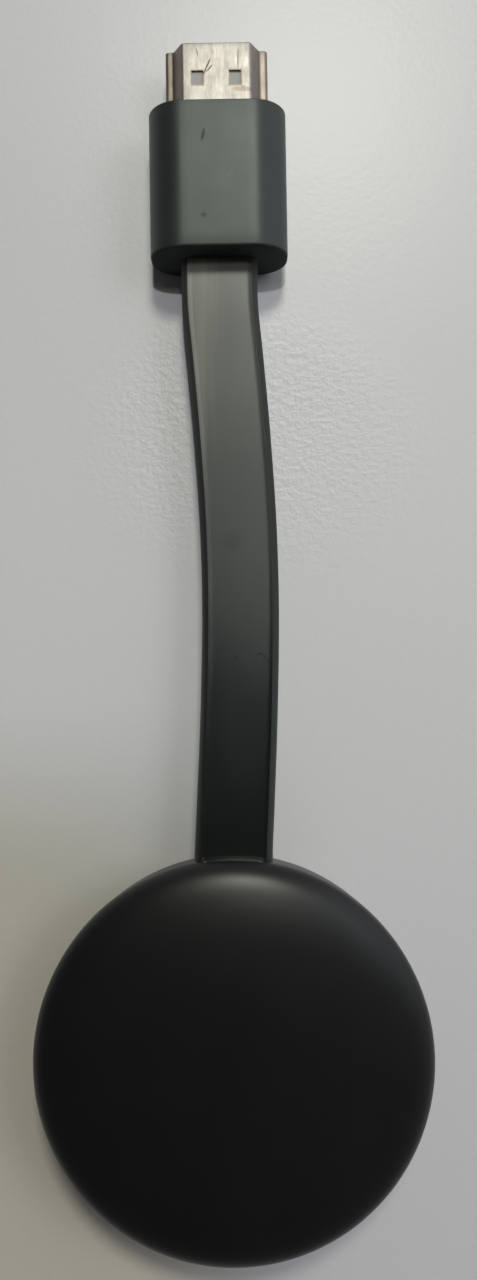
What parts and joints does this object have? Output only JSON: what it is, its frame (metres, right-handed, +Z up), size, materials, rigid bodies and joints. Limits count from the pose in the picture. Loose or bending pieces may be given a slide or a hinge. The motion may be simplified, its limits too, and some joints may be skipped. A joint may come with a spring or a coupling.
{
  "type": "streaming media stick",
  "caption": "Round, domed puck on a short flat cable that ends in a moulded video plug; power socket, reset button and status light in the side wall.",
  "frame": {"origin": "centre of the puck's flat base", "axes": "+Z up through the puck; +Y towards the cable and the plug; the power socket faces -Y"},
  "size_m": [0.0518, 0.1608, 0.0138],
  "materials": {
    "cover_plastic": "fine matte texture, near black",
    "clear_plastic": "clear moulded, slightly frosted",
    "led_body": "small resin-filled light",
    "button_plastic": "matte, near black",
    "pale_plastic": "moulded nylon",
    "black_plastic": "moulded insulator",
    "tinned_steel": "tinned sheet",
    "gilt_brass": "gold flash",
    "board_laminate": "solder mask over laminate",
    "chip_plastic": "moulded epoxy",
    "thermal_rubber": "soft filled silicone",
    "spreader_aluminium": "stamped sheet",
    "antenna_metal": "stamped strip",
    "ferrite": "moulded ferrite",
    "ceramic": "ceramic with tinned ends",
    "screw_steel": "zinc plated",
    "header_plastic": "moulded nylon",
    "wire_insulation": "extruded insulation",
    "relief_rubber": "moulded soft plastic",
    "cable_rubber": "satin flat jacket, dark grey green",
    "housing_rubber": "satin overmould, grey green",
    "shell_nickel": "nickel plated, lightly scratched"
  },
  "bodies": {
    "stick": {"top_cover": "cover_plastic", "bottom_cover": "cover_plastic", "light_pipe": "clear_plastic", "status_led": "led_body", "switch_body": "black_plastic", "power_socket_shell": "tinned_steel", "power_socket_core": "black_plastic", "power_socket_contacts": "gilt_brass", "main_board": "board_laminate", "processor_chip": "chip_plastic", "memory_chip": "chip_plastic", "flash_chip": "chip_plastic", "wireless_chip": "chip_plastic", "main_shield": "tinned_steel", "radio_shield": "tinned_steel", "lower_shield": "tinned_steel", "upper_thermal_pad": "thermal_rubber", "lower_thermal_pad": "thermal_rubber", "heat_spreader": "spreader_aluminium", "antennas": "antenna_metal", "power_inductors": "ferrite", "board_components": "ceramic", "clock_crystal": "tinned_steel", "board_screws": "screw_steel", "spreader_screws": "screw_steel", "cable_header": "header_plastic", "board_wires": "wire_insulation", "cable_relief": "relief_rubber", "cable": "cable_rubber", "plug_housing": "housing_rubber", "plug_shell": "shell_nickel", "plug_insulator": "black_plastic", "plug_contacts_upper": "gilt_brass", "plug_contacts_lower": "gilt_brass", "plug_solder_board": "board_laminate", "plug_wires": "wire_insulation", "plug_inner_shield": "tinned_steel"},
    "reset_button": {"reset_button": "button_plastic"},
    "switch_plunger": {"switch_plunger": "pale_plastic"}
  },
  "joints": [
    {"name": "reset_button_press", "type": "slide", "parent": "stick", "child": "reset_button", "axis": [-0.3422, 0.9396, 0], "range_m": [0, 0.0003], "stiffness_N_per_m": 100},
    {"name": "switch_plunger_press", "type": "slide", "parent": "stick", "child": "switch_plunger", "axis": [-0.3422, 0.9396, 0], "range_m": [0, 0.0003]}
  ],
  "couplings": [
    {"joint": "switch_plunger_press", "follows": "reset_button_press", "ratio": 1}
  ]
}
